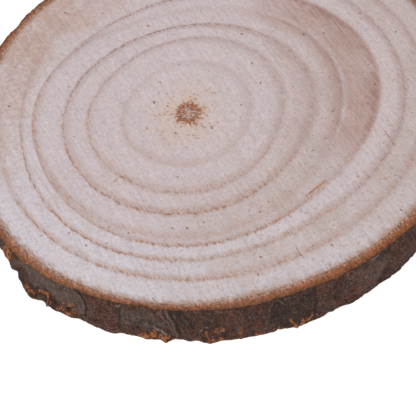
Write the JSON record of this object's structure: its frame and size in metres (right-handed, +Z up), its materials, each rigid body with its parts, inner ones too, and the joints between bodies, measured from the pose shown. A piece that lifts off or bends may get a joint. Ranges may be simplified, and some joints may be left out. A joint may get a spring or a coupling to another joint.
{
  "type": "wood slice",
  "caption": "Thin round slice sawn across a young softwood stem: flat pale wood with its growth rings, and a rough brown bark ring on it.",
  "frame": {"origin": "under the middle of the slice, on the lower sawn face", "axes": "+Z up along the stem's axis, +X to the right and +Y away as the picture shows the slice"},
  "size_m": [0.1082, 0.1124, 0.01],
  "materials": {
    "sawn_wood": "dry sawn end grain, pale, with growth rings",
    "bark": "rough dry bark, dark brown and grey, with an orange-brown inner band"
  },
  "bodies": {
    "root": {"wood_disc": "sawn_wood", "bark_ring": "bark"}
  },
  "joints": []
}
